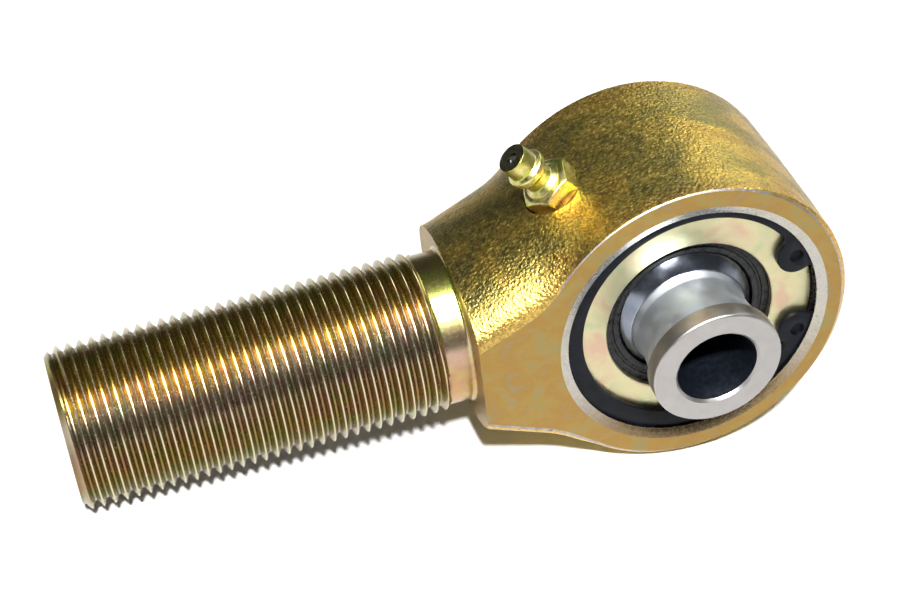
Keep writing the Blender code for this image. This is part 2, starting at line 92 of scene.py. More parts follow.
# Floor and studio: places are azimuth and elevation in degrees, then metres from the aim
FLOOR_SIZE = 1.6
FLOOR_GREY = 0.86
FLOOR_GLOW = 0.02
LIGHT_AIM = Vector((-0.03, 0.0, 0.0))
KEY_PLACE = (-8.0, 51.0, 2.0)
KEY_SIZE = (0.12, 0.12)
OVERHEAD_PLACE = (0.0, 72.0, 1.2)
REAR_PLACE = (125.0, 30.0, 1.3)
# Greys of the studio from straight below to straight above
STUDIO_GREYS = ((0.0, 0.9), (0.49, 0.85), (0.53, 0.11), (0.75, 0.07), (1.0, 0.10))

# Threaded shank
THREAD_RADIUS = 12.7 * MM
THREAD_PITCH = 25.4 * MM / 14
THREAD_DEPTH = 0.613 * THREAD_PITCH
THREAD_STOP = -39.0 * MM
SHOULDER = -34.3 * MM
SHANK_CHAMFER = 1.3 * MM
END_FACE_RADIUS = THREAD_RADIUS - SHANK_CHAMFER
BLANK_RADIUS = 12.0 * MM
BLANK_FILLET = 0.6 * MM
ROOT_FADE = 1.2 * MM
CREST_FADE_START = -39.4 * MM
CREST_FADE_SLOPE = 0.875
CREST_FADE_LEAD = 0.4 * MM
ROOT_DROP = 0.55 * MM
RUNOUT_END = -38.1 * MM
CREST_FLAT = 0.125
ROOT_FLAT = 0.167
FLANK_ROUNDING = 0.04
SLIVER_ROOM = 0.1 * THREAD_PITCH

# Forging
NECK_HALF_HEIGHT = 12.7 * MM
# Depth and height of the elliptical edges along the neck's top and bottom
NECK_CROWN = (13.5 * MM, 6.7 * MM)
NECK_BELLY = (14.5 * MM, 4.8 * MM)
CROWN = 0.25 * MM
CROWN_POWER = 2.5
TOP_SET_BACK = 0.35 * MM
TOP_SET_SHARE = 1.92
TOP_TOUCH_PLAY = 0.02 * MM
BOTTOM_TOUCH_INSET = 0.25 * MM
NECK_BLEND = 3.2 * MM
NECK_EDGE = 0.3 * MM
SIDE_SPACING = 1.35
GRAIN_ROOM = 0.12 * MM
# Height and width in millimetres of the forging's grain, ripples and swells
RELIEF = ((0.030, 0.8), (0.035, 2.4), (0.08, 11.0))
BEVEL_DEPTH = 0.75 * MM
BEVEL_TO_RIGHT = 0.4 * MM
BEVEL_TO_TOP = -0.6 * MM
LEAST_BEVEL = 0.15 * MM
WORN_SIDE = radians(-120.0)
WORN_WIDE = 0.95 * MM
WORN_THIN = 0.32 * MM
FLAT_INNER_RADIUS = 21.85 * MM
BORE_RADIUS = 20.35 * MM
BORE_CHAMFER_DEPTH = 0.7 * MM
GROOVE_RADIUS = RING_OUTER + GAP
GROOVE_PLAY = 0.2 * MM
WINDOW_RADIUS = 13.55 * MM
WINDOW_LAND = 1.8 * MM
LIP_MOUTH_RADIUS = 16.0 * MM

# Fitting and its pocket
SEAT_RADIUS = 25.2 * MM
POCKET_RADIUS = 4.9 * MM
POCKET_FLARE = 0.6 * MM
POCKET_CORNER = 0.5 * MM
POCKET_CUT_TOP = 14.0 * MM
STUB_RADIUS = 3.0 * MM
STUB_LENGTH = 3.9 * MM
STUB_CHAMFER = 0.4 * MM
GREASE_HOLE_RADIUS = 1.5 * MM
HEX_ACROSS_FLATS = 7.94 * MM
HEX_HEIGHT = 3.3 * MM
HEX_TURN = radians(-16.0)
HEX_FOOT = 0.05 * MM
FITTING_HEIGHT = 10.55 * MM
TIP_RADIUS = 2.4 * MM
HEAD_RADIUS = 3.2 * MM
RIM_HEIGHT = 6.6 * MM
RIM_ROUND = 0.4 * MM
WAIST_RADIUS = 2.25 * MM
WAIST_TOP = 5.5 * MM
WAIST_BOTTOM = 4.1 * MM
SPIGOT_RADIUS = 3.1 * MM
CHAMBER_RADIUS = 1.45 * MM
TIP_HOLE_RADIUS = 0.9 * MM
STUB_HOLE_RADIUS = 0.8 * MM
CHAMBER_FLOOR = 0.8 * MM - STUB_LENGTH

# Ball
BALL_RADIUS = 15.875 * MM
BALL_HALF_LENGTH = 25.0 * MM
BALL_NECK_RADIUS = 8.9 * MM
BALL_WAIST = 15.4 * MM
BALL_CORNER_ANGLE = radians(36.0)
COLLAR_RADIUS = 10.3 * MM
COLLAR_WIDTH = 3.0 * MM
COLLAR_STEP = 0.25 * MM
COLLAR_FOOT = 0.15 * MM
BOLT_BORE_RADIUS = 6.4 * MM
BOLT_BORE_CHAMFER = 0.45 * MM

# Races
RACE_HALF_SPLIT = 0.6 * MM
RACE_MOUTH_ANGLE = radians(43.0)
RACE_GROOVE_DEPTH = 0.28 * MM

# Snap ring
RING_INNER_RADIUS = 18.2 * MM
RING_INNER_CENTRE = Vector((0.4, 0.8)) * MM
LUG_ORBIT = 18.7 * MM
LUG_RADIUS = 3.1 * MM
LUG_HOLE_RADIUS = 1.1 * MM
# Thickness of the dark web left behind each lug hole: painted shade, where the real hole goes through
LUG_HOLE_SHADE_WEB = 0.15 * MM
LUG_ANGLE = radians(23.0)
LUG_FOOT = radians(15.0)
LUG_SWEEP = 0.86 * pi
RING_EDGE = 0.16 * MM


# ---- node helpers

# The stretch that nearly all of a noise's values fall in
NOISE_LOW, NOISE_HIGH = 0.3, 0.7


class Nodes:
    """Short calls for the nodes of a material or a world."""

    def __init__(self, tree):
        self.tree = tree

    def add(self, kind, **settings):
        node = self.tree.nodes.new(kind)
        for key, value in settings.items():
            setattr(node, key, value)
        return node

    def set(self, socket, value):
        if isinstance(value, bpy.types.NodeSocket):
            self.tree.links.new(value, socket)
        else:
            socket.default_value = value

    def feed(self, node, inputs):
        for name, value in inputs.items():
            self.set(node.inputs[name], value)
        return node.outputs

    def maths(self, operation, a, b=0.0):
        node = self.add("ShaderNodeMath", operation=operation)
        self.set(node.inputs[0], a)
        self.set(node.inputs[1], b)
        return node.outputs[0]

    def plus(self, a, b):
        return self.maths("ADD", a, b)

    def times(self, a, b):
        return self.maths("MULTIPLY", a, b)

    def radius(self, a, b):
        return self.maths("SQRT", self.plus(self.times(a, a), self.times(b, b)))

    def mix(self, factor, a, b, blend="MIX"):
        """Blend of two colours, each a node's output or numbers."""
        node = self.add("ShaderNodeMix", data_type="RGBA", blend_type=blend)
        self.set(node.inputs[0], factor)
        for socket, colour in ((node.inputs[6], a), (node.inputs[7], b)):
            self.set(socket, colour if isinstance(colour, bpy.types.NodeSocket) else rgba(colour))
        return node.outputs[2]

    def tinted(self, colour, tint):
        return self.mix(1.0, colour, tint, "MULTIPLY")

    def ramp(self, factor, *stops):
        """Colour ramp from (position, colour) stops, where a number is a grey."""
        node = self.add("ShaderNodeValToRGB")
        elements = node.color_ramp.elements
        while len(elements) < len(stops):
            elements.new(0.5)
        for element, (position, colour) in zip(elements, stops):
            element.position = position
            element.color = rgba(colour)
        self.set(node.inputs[0], factor)
        return node.outputs[0]

    def between(self, noise, low, high):
        """One colour or grey where a noise is low, another where it is high."""
        return self.ramp(noise, (NOISE_LOW, low), (NOISE_HIGH, high))

    def parts(self, vector):
        node = self.add("ShaderNodeSeparateXYZ")
        self.set(node.inputs[0], vector)
        return node.outputs

    def bump(self, height, distance, strength, normal=None):
        """Normal raised by a height whose 1 stands for a distance in millimetres."""
        inputs = {"Strength": strength, "Distance": distance * MM, "Height": height}
        if normal is not None:
            inputs["Normal"] = normal
        return self.feed(self.add("ShaderNodeBump"), inputs)[0]


class Look(Nodes):
    """One material with its colour, gloss and relief."""

    def __init__(self, name, metallic=1.0, axis=None, plain=None):
        self.material = bpy.data.materials.new(name)
        self.material.use_nodes = True
        super().__init__(self.material.node_tree)
        self.shader = self.tree.nodes["Principled BSDF"]
        self.feed(self.shader, {"Metallic": metallic, **(plain or {})})
        self.here = self.place(axis)

    def place(self, axis):
        """The point in millimetres, in the part's axes or with Z along the given axis."""
        turned = self.add("ShaderNodeMapping")
        self.set(turned.inputs["Vector"], self.add("ShaderNodeTexCoord").outputs["Object"])
        turned.inputs["Scale"].default_value = (1.0 / MM,) * 3
        if axis is not None:
            turned.inputs["Rotation"].default_value = upright_at(axis).inverted().to_euler()
        return turned.outputs[0]

    def texture(self, kind, size, inputs, **settings):
        """Texture whose features are about size millimetres across."""
        return self.feed(self.add(kind, **settings), {"Scale": 1.0 / size, **inputs})

    def noise(self, size, detail=3.0, rough=0.55, distortion=0.0, stretch=None):
        """Noise from 0 to 1 over the surface."""
        point = self.here
        if stretch is not None:
            stretcher = self.add("ShaderNodeVectorMath", operation="MULTIPLY")
            self.set(stretcher.inputs[0], point)
            stretcher.inputs[1].default_value = stretch
            point = stretcher.outputs[0]
        inputs = {"Vector": point, "Detail": detail, "Roughness": rough, "Distortion": distortion}
        return self.texture("ShaderNodeTexNoise", size, inputs)[0]

    def noise_line(self, value, size):
        """Noise along one number, for turned marks."""
        inputs = {"W": value, "Detail": 3.0, "Roughness": 0.6}
        return self.texture("ShaderNodeTexNoise", size, inputs, noise_dimensions="1D")[0]

    def cells(self, size):
        """Distance from the middle of rounded cells."""
        return self.texture("ShaderNodeTexVoronoi", size, {"Vector": self.here})["Distance"]

    def chromate(self, size, *stops):
        """Blotchy plating colour: a slow noise through a ramp."""
        return self.ramp(self.noise(size, detail=2.5, rough=0.5, distortion=0.6), *stops)

    def dress(self, colour, roughness, normal=None):
        """Feed the shader. The roughness may be a (noise, low, high) for between()."""
        if isinstance(roughness, tuple):
            roughness = self.between(*roughness)
        self.feed(self.shader, {"Base Color": colour, "Roughness": roughness})
        if normal is not None:
            self.set(self.shader.inputs["Normal"], normal)
        return self.material


def rgba(colour):
    if isinstance(colour, (int, float)):
        return (colour, colour, colour, 1.0)
    return (*colour, 1.0)


# ---- materials

# Chromate colours, as linear light
GOLD = (0.74, 0.54, 0.12)
OLIVE = (0.36, 0.31, 0.10)
LAVENDER = (0.26, 0.25, 0.29)
SILVER = (0.36, 0.35, 0.34)


def forged_zinc():
    """Grainy plated forging, golden with brown and olive patches and bright grains, with painted shade towards the
    shank and the top.
    """
    look = Look("forged_zinc")
    x, y, z = look.parts(look.here)
    colour = look.chromate(9.0, (0.32, OLIVE), (0.44, (0.50, 0.40, 0.10)), (0.56, GOLD),
                           (0.72, (0.62, 0.38, 0.08)))
    grain = look.noise(0.42, detail=2.5, rough=0.65)
    speckle = look.ramp(grain, (0.34, 0.62), (0.50, 0.98), (0.66, 1.30))
    colour = look.tinted(colour, speckle)
    # Painted shade: darker towards the shank and the top
    painted_shade = look.ramp(look.plus(look.times(x, -0.02), look.times(z, 0.006)), (0.18, 0.0), (0.46, 0.55))
    colour = look.mix(painted_shade, colour, look.tinted(colour, (0.38, 0.33, 0.30)))
    # Redder and darker towards the eye's far end
    redder_far_end = look.ramp(look.plus(look.times(x, 0.02), look.times(grain, 0.08)), (0.26, 0.0), (0.52, 0.85))
    colour = look.mix(redder_far_end, colour, look.tinted(colour, (0.66, 0.48, 0.34)))
    # Deep gold beside the flats
    face = look.times(look.maths("ABSOLUTE", y), 1.0 / (HALF_WIDTH / MM))
    near_face = look.ramp(look.plus(face, look.times(grain, 0.06)), (0.80, 0.0), (0.98, 0.6))
    colour = look.mix(near_face, colour, look.tinted(speckle, (0.60, 0.38, 0.10)))
    pebble = look.ramp(look.cells(0.55), (0.0, 1.0), (0.75, 0.0))
    coarse = look.bump(look.plus(look.times(pebble, 0.5), look.times(grain, 0.7)), 0.16, 0.8)
    fine = look.bump(look.noise(0.2, detail=2.0), 0.04, 0.6, coarse)
    return look.dress(colour, (look.noise(0.8, detail=2.0), 0.29, 0.44), fine)


def machined_zinc():
    """Faced flat: tan-gold plating over fine turning marks, with grey streaks and scratches."""
    look = Look("machined_zinc")
    x, y, z = look.parts(look.here)
    colour = look.chromate(4.0, (0.32, (0.27, 0.215, 0.085)), (0.44, (0.31, 0.21, 0.062)),
                           (0.56, (0.31, 0.185, 0.052)), (0.70, (0.27, 0.205, 0.095)))
    streak = look.noise(1.3, detail=4.0, rough=0.7, stretch=(0.5, 1.0, 2.5))
    colour = look.mix(look.ramp(streak, (0.54, 0.0), (0.76, 0.4)), colour, (0.30, 0.27, 0.22))
    rings = look.bump(look.noise_line(look.radius(x, z), 0.16), 0.02, 0.5)
    return look.dress(colour, (streak, 0.34, 0.5), look.bump(streak, 0.03, 0.35, rings))


def worn_edge():
    """Bright rubbed bevel, silver with lavender and gold traces and small nicks."""
    look = Look("worn_edge")
    colour = look.chromate(1.6, (0.30, (0.34, 0.27, 0.13)), (0.45, LAVENDER), (0.58, SILVER),
                           (0.75, (0.36, 0.28, 0.13)))
    nick = look.noise(0.6, rough=0.7)
    colour = look.mix(look.ramp(nick, (0.60, 0.0), (0.70, 0.85)), colour, (0.16, 0.12, 0.09))
    return look.dress(colour, (nick, 0.38, 0.55), look.bump(nick, 0.08, 0.6))


def bore_zinc():
    """Turned bore and its chamfer: pale lavender silver with faint rings, brown towards the bottom."""
    look = Look("bore_zinc")
    x, y, z = look.parts(look.here)
    colour = look.chromate(3.5, (0.3, (0.38, 0.36, 0.30)), (0.5, (0.42, 0.40, 0.36)),
                           (0.7, (0.38, 0.36, 0.36)))
    nick = look.noise(0.5, rough=0.7)
    colour = look.mix(look.ramp(nick, (0.62, 0.0), (0.70, 0.6)), colour, (0.25, 0.22, 0.20))
    brown = look.ramp(nick, (0.35, (0.17, 0.11, 0.05)), (0.6, (0.26, 0.18, 0.08)))
    below = look.ramp(look.plus(look.times(z, -0.04), look.times(nick, 0.4)), (0.45, 0.0), (0.85, 0.9))
    rings = look.bump(look.noise_line(look.plus(look.radius(x, z), y), 0.2), 0.02, 0.5)
    return look.dress(look.mix(below, colour, brown), (nick, 0.20, 0.32), rings)


def thread_zinc():
    """Rolled thread and smooth blank: iridescent plating with blotches, under painted reflection bands round the
    shank whose edges drift a little, with painted shade in the roots and painted highlights on the crests.
    """
    look = Look("thread_zinc")
    x, y, z = look.parts(look.here)
    # Painted reflection: colour bands by angle round the shank, from the bottom (0.25) through the front (0.5) to
    # the top (0.75); dark low and high at the back, a painted silver highlight at 0.60 and gold just above it
    turn = look.maths("DIVIDE", look.maths("ARCTAN2", z, look.times(y, -1.0)), TAU)
    drift = look.noise(5.0, stretch=(0.3, 1.0, 1.0))
    share = look.plus(look.plus(turn, 0.5), look.times(look.maths("SUBTRACT", drift, 0.5), 0.10))
    tint = look.ramp(share, (0.30, (0.18, 0.16, 0.10)), (0.38, (0.32, 0.23, 0.08)),
                     (0.43, (0.26, 0.31, 0.08)), (0.48, (0.42, 0.28, 0.08)), (0.54, (0.40, 0.33, 0.22)),
                     (0.60, (0.80, 0.78, 0.78)), (0.66, (0.88, 0.66, 0.22)), (0.76, (0.60, 0.52, 0.10)),
                     (0.84, (0.28, 0.25, 0.08)))
    # Painted reflection bands of the smooth blank, on the same angle
    bare = look.ramp(share, (0.32, (0.16, 0.11, 0.05)), (0.43, (0.40, 0.24, 0.09)),
                     (0.51, (0.34, 0.23, 0.12)), (0.56, (0.50, 0.38, 0.30)), (0.62, (0.52, 0.46, 0.18)),
                     (0.69, (0.40, 0.44, 0.09)), (0.78, (0.22, 0.16, 0.05)))
    blotch = look.chromate(2.6, (0.34, (0.32, 0.50, 0.12)), (0.48, (0.62, 0.50, 0.16)),
                           (0.64, (0.56, 0.28, 0.24)))
    colour = look.mix(0.34, tint, blotch)
    # Painted shade in the roots and painted highlight on the crests
    out = look.maths("DIVIDE", look.radius(y, z), THREAD_RADIUS / MM)
    root_shade = look.tinted(colour, (0.46, 0.41, 0.35))
    crest = look.mix(0.5, colour, (0.84, 0.78, 0.62))
    ridged = look.mix(look.ramp(out, (0.93, 0.0), (0.995, 0.3), (1.0, 1.0)), root_shade, crest)
    on_thread = look.ramp(look.times(x, -0.01), (0.381, 0.0), (0.395, 1.0))
    colour = look.mix(on_thread, look.mix(0.25, bare, blotch), ridged)
    grit = look.noise(0.5, rough=0.65)
    return look.dress(colour, (grit, 0.22, 0.28), look.bump(look.noise(1.6), 0.01, 0.3))


def pocket_zinc():
    """Spot-faced pocket round the fitting: plating given a reddish-brown tone as painted shade of the gap round
    the fitting, over fine grit.
    """
    look = Look("pocket_zinc")
    colour = look.chromate(2.0, (0.35, (0.34, 0.15, 0.07)), (0.5, (0.48, 0.26, 0.09)),
                           (0.65, (0.56, 0.40, 0.12)))
    grit = look.noise(0.4)
    return look.dress(colour, (grit, 0.45, 0.60), look.bump(grit, 0.04, 0.5))


def washer_zinc():
    """Pale yellow plating with green and rose clouds over faint stamping marks."""
    look = Look("washer_zinc")
    x, y, z = look.parts(look.here)
    colour = look.chromate(6.0, (0.30, (0.38, 0.43, 0.26)), (0.44, (0.49, 0.46, 0.28)),
                           (0.56, (0.53, 0.48, 0.29)), (0.68, (0.52, 0.37, 0.26)))
    cloud = look.noise(1.8, detail=4.0, rough=0.6)
    rings = look.bump(look.noise_line(look.radius(x, z), 0.9), 0.03, 0.35)
    return look.dress(colour, (cloud, 0.26, 0.42), look.bump(cloud, 0.04, 0.3, rings))


def blued_steel():
    """Dark blue-black spring steel with soft tumbled edges."""
    look = Look("blued_steel", 0.0, plain={"Specular IOR Level": 0.12})
    cloud = look.noise(2.0, detail=4.0, rough=0.6)
    colour = look.between(cloud, (0.0015, 0.002, 0.003), (0.005, 0.006, 0.010))
    return look.dress(colour, (cloud, 0.34, 0.46), look.bump(look.noise(0.35), 0.03, 0.4))


def race_plastic():
    """Black bearing plastic, satin, with moulding ripple."""
    look = Look("race_plastic", 0.0, plain={"Specular IOR Level": 0.2})
    cloud = look.noise(1.2)
    colour = look.between(cloud, 0.006, 0.016)
    return look.dress(colour, (cloud, 0.22, 0.36), look.bump(cloud, 0.03, 0.3))


def polished_steel():
    """Ground ball, mirror-like, its sphere darkened as painted reflection of the black races, with a paler satin
    neck and fine turning marks.
    """
    look = Look("polished_steel", axis=BALL_AXIS)
    x, y, z = look.parts(look.here)
    smear = look.noise(3.0)
    on_neck = look.ramp(look.times(look.maths("ABSOLUTE", z), 0.02), (0.255, 0.0), (0.262, 1.0))
    neck = look.between(smear, (0.58, 0.62, 0.68), (0.66, 0.70, 0.76))
    # Painted reflection: the sphere's dark blue-grey stands in for the black races seen in the polished ball
    sphere = look.between(smear, (0.16, 0.18, 0.22), (0.24, 0.26, 0.31))
    gloss = look.mix(on_neck, look.between(smear, 0.16, 0.26), look.between(smear, 0.40, 0.50))
    marks = look.bump(look.noise_line(z, 0.12), 0.008, 0.5)
    return look.dress(look.mix(on_neck, sphere, neck), gloss, marks)


def ground_steel():
    """Ground end face and collar: even bright grey with a fine lay."""
    look = Look("ground_steel", axis=BALL_AXIS)
    x, y, z = look.parts(look.here)
    smear = look.noise(2.2)
    colour = look.between(smear, (0.34, 0.325, 0.315), (0.38, 0.365, 0.355))
    lay = look.noise_line(look.plus(look.radius(x, y), z), 0.14)
    return look.dress(colour, (smear, 0.32, 0.42), look.bump(lay, 0.015, 0.6))


def bore_steel():
    """Black-oxide bolt bore with a mottled skin."""
    look = Look("bore_steel", 0.6)
    cloud = look.noise(0.8, detail=4.0, rough=0.7)
    colour = look.between(cloud, (0.005, 0.008, 0.014), (0.016, 0.022, 0.034))
    return look.dress(colour, (cloud, 0.38, 0.55), look.bump(cloud, 0.06, 0.5))


def fitting_zinc():
    """Bright smooth yellow zinc with green and pale patches."""
    look = Look("fitting_zinc")
    colour = look.chromate(2.2, (0.32, (0.34, 0.38, 0.09)), (0.45, (0.50, 0.48, 0.13)),
                           (0.58, (0.64, 0.58, 0.28)), (0.72, (0.52, 0.36, 0.12)))
    cloud = look.noise(0.7)
    return look.dress(colour, (cloud, 0.26, 0.40), look.bump(cloud, 0.03, 0.4))


def fitting_tip_dark():
    """Dark tip face of the fitting, and its chamber, where the same dark colour is painted shade inside the hole.
    """
    look = Look("fitting_tip_dark", 0.8)
    cloud = look.noise(0.6)
    colour = look.between(cloud, (0.020, 0.018, 0.008), (0.065, 0.060, 0.030))
    return look.dress(colour, (cloud, 0.32, 0.5), look.bump(cloud, 0.03, 0.4))


def bearing_steel():
    """Bright steel of the check ball and its spring."""
    look = Look("bearing_steel")
    smear = look.noise(0.5, detail=2.0)
    return look.dress(look.between(smear, 0.62, 0.74), (smear, 0.08, 0.16))


# ---- mesh helpers

ARC_STEP = radians(15.0)
WELD = 1e-7


def placed(name, data):
    thing = bpy.data.objects.new(name, data)
    bpy.context.scene.collection.objects.link(thing)
    return thing


def new_object(name, mesh, shades):
    thing = placed(name, mesh)
    for shade in shades:
        mesh.materials.append(shade)
    return thing


def smooth(mesh, angle=32.0):
    mesh.shade_smooth()
    mesh.set_sharp_from_angle(angle=radians(angle))


def upright_at(axis, origin=(0.0, 0.0, 0.0)):
    """Matrix that puts local +Z along an axis at a point."""
    turn = Vector(axis).to_track_quat("Z", "Y").to_matrix().to_4x4()
    return Matrix.Translation(origin) @ turn


def rounded(corners):
    """Points of a (radius, height, fillet, shade) outline with its corners rounded by arcs.

    Each point keeps the number of the shade of the stretch that follows it."""
    points = []
    count = len(corners)
    for i, (r, h, fillet, shade) in enumerate(corners):
        if fillet <= 0.0:
            points.append((r, h, shade))
            continue
        here = Vector((r, h))
        before = Vector(corners[i - 1][:2]) - here
        after = Vector(corners[(i + 1) % count][:2]) - here
        turn = pi - before.angle(after)
        reach = min(fillet * tan(turn / 2.0), 0.48 * before.length, 0.48 * after.length)
        radius = reach / tan(turn / 2.0)
        before.normalize()
        after.normalize()
        centre = here + (before + after).normalized() * hypot(radius, reach)
        first = here + before * reach - centre
        last = here + after * reach - centre
        pieces = max(2, ceil(turn / ARC_STEP))
        sweep = atan2(first.x * last.y - first.y * last.x, first.dot(last))
        for k in range(pieces + 1):
            angle = sweep * k / pieces
            arm = Vector((first.x * cos(angle) - first.y * sin(angle),
                          first.x * sin(angle) + first.y * cos(angle)))
            tag = shade if k >= pieces / 2 else corners[i - 1][3]
            points.append((centre.x + arm.x, centre.y + arm.y, tag))
    return points


def grid_faces(rows, columns, wrap_rows):
    """Quads of a grid of points numbered row by row, each row a closed ring."""
    r = np.arange(rows if wrap_rows else rows - 1)
    rr, cc = np.meshgrid(r, np.arange(columns), indexing="ij")
    here, ahead = rr * columns, (rr + 1) % rows * columns
    beside = (cc + 1) % columns
    quads = np.stack([here + cc, here + beside, ahead + beside, ahead + cc], axis=-1)
    return quads.reshape(-1, 4).tolist()


def clean(mesh):
    """Weld doubled points, drop collapsed faces and point every face outwards."""
    work = bmesh.new()
    work.from_mesh(mesh)
    bmesh.ops.remove_doubles(work, verts=work.verts, dist=WELD)
    bmesh.ops.dissolve_degenerate(work, edges=work.edges, dist=WELD)
    bmesh.ops.recalc_face_normals(work, faces=work.faces)
    work.to_mesh(mesh)
    work.free()


def built(name, points, faces, numbers):
    """Clean mesh of an array of points, with a shade number for each face."""
    mesh = bpy.data.meshes.new(name)
    mesh.from_pydata(points.reshape(-1, 3).tolist(), [], faces)
    mesh.polygons.foreach_set("material_index", np.array(numbers, dtype=np.int32))
    clean(mesh)
    return mesh


def lathe(name, points, steps, matrix, shades):
    """Turn (radius, height, shade) points about local +Z into a closed body, placed by a matrix.

    An outline that starts on the axis ends on it too; any other is a loop round a hollow."""
    closed = points[0][0] > 0.0
    out, up = np.array([p[:2] for p in points]).T[:, :, None]
    angles = np.arange(steps) * TAU / steps
    body = np.stack([out * np.cos(angles), out * np.sin(angles), up + 0.0 * angles], axis=-1)
    tags = np.repeat([p[2] for p in (points if closed else points[:-1])], steps)
    mesh = built(name, body, grid_faces(len(points), steps, closed), tags)
    smooth(mesh)
    mesh.transform(matrix)
    return new_object(name, mesh, shades)


def applied(thing):
    """Keep the object's evaluated mesh and drop its modifiers."""
    bpy.context.view_layer.update()
    graph = bpy.context.evaluated_depsgraph_get()
    final = thing.evaluated_get(graph)
    mesh = bpy.data.meshes.new_from_object(final, preserve_all_data_layers=True, depsgraph=graph)
    thing.modifiers.clear()
    thing.data = mesh
    return thing


def cut(thing, tool, operation="DIFFERENCE"):
    modifier = thing.modifiers.new("cut", "BOOLEAN")
    modifier.operation = operation
    modifier.solver = "EXACT"
    modifier.object = tool
    applied(thing)
    bpy.data.objects.remove(tool, do_unlink=True)
    close_pinholes(thing.data)
    return thing


def bevelled(thing, width, angle):
    """Break the edges that turn by more than an angle in degrees."""
    bevel = thing.modifiers.new("edges", "BEVEL")
    bevel.width = width
    bevel.segments = 2
    bevel.limit_method = "ANGLE"
    bevel.angle_limit = radians(angle)
    return applied(thing)


def close_pinholes(mesh):
    """Close the few-sided holes that a cut can leave where surfaces nearly touch."""
    work = bmesh.new()
    work.from_mesh(mesh)
    rims = [edge for edge in work.edges if edge.is_boundary]
    if rims:
        bmesh.ops.holes_fill(work, edges=rims, sides=12)
        bmesh.ops.recalc_face_normals(work, faces=work.faces)
        work.to_mesh(mesh)
    work.free()


def noise_at(points, size):
    """Signed noise at each point of an (n, 3) array, features about size across."""
    return np.array([noise.noise(Vector(p)) for p in points / size])


def fade(value, start, end):
    """Smooth rise from 0 at the start to 1 at the end."""
    t = np.clip((value - start) / (end - start), 0.0, 1.0)
    return t * t * (3.0 - 2.0 * t)


# ---- forging

FORGED, FLAT, EDGE, BORE, THREAD, POCKET = range(6)

SKIN_COLUMNS = 400
SHOULDER_COLUMNS = 36
EDGE_ROWS = 5
SIDE_ROWS = 42
THREAD_STEPS = 128
THREAD_ROWS = 8


def neck_heading(touch):
    """Angle from +X of the normal to the neck's edge line, which touches a circle of this radius."""
    reach = hypot(SHOULDER, NECK_HALF_HEIGHT)
    return atan2(NECK_HALF_HEIGHT, SHOULDER) - acos(touch / reach)


TOP_TOUCH = EYE_RADIUS - GRAIN_ROOM - TOP_SET_SHARE * TOP_SET_BACK - TOP_TOUCH_PLAY
BOTTOM_TOUCH = EYE_RADIUS - BOTTOM_TOUCH_INSET
TOP_HEADING = neck_heading(TOP_TOUCH)
BOTTOM_HEADING = neck_heading(BOTTOM_TOUCH)


def drop_at(depth, reach, height):
    """How far an elliptical edge has fallen below its top at a depth behind the face."""
    inside = np.clip(1.0 - depth / reach, 0.0, 1.0)
    return height * (1.0 - np.sqrt(1.0 - inside ** 2))


def edge_depth(turn):
    """Depth of the rim's bevel at an angle from +X: widest at the lower right, thin at the upper left."""
    depth = BEVEL_DEPTH + BEVEL_TO_RIGHT * np.cos(turn) + BEVEL_TO_TOP * np.sin(turn)
    return np.maximum(LEAST_BEVEL, depth)


def from_right(turn):
    """Size of an angle from +X, from 0 to pi either way round."""
    return np.abs(np.angle(np.exp(1j * turn)))


def skin_radius(turn, depth):
    """Distance of the forging's skin from the bore's axis, before its grain."""
    outside = EYE_RADIUS - GRAIN_ROOM - TOP_SET_BACK * (1.0 + np.sin(turn))
    crown = outside - CROWN * (1.0 - depth / HALF_WIDTH) ** CROWN_POWER
    eye = np.minimum(crown, outside - CROWN - edge_depth(turn) + depth)
    upper = np.sin(turn) > 0.0
    heading = np.where(upper, TOP_HEADING, BOTTOM_HEADING)
    past = from_right(turn) - heading
    fallen = np.where(upper, drop_at(depth, *NECK_CROWN), drop_at(depth, *NECK_BELLY))
    drop = fallen * np.cos(heading - pi / 2)
    line = (np.where(upper, TOP_TOUCH, BOTTOM_TOUCH) - drop) / np.cos(np.clip(past, 0.0, 1.45))
    blend = NECK_BLEND * fade(past, radians(6.0), radians(26.0)) + 1e-6
    near = np.clip(1.0 - np.abs(line - eye) / blend, 0.0, 1.0)
    joined = np.maximum(line, eye) + 0.25 * blend * near ** 2
    return np.where(past > 0.0, joined, eye)


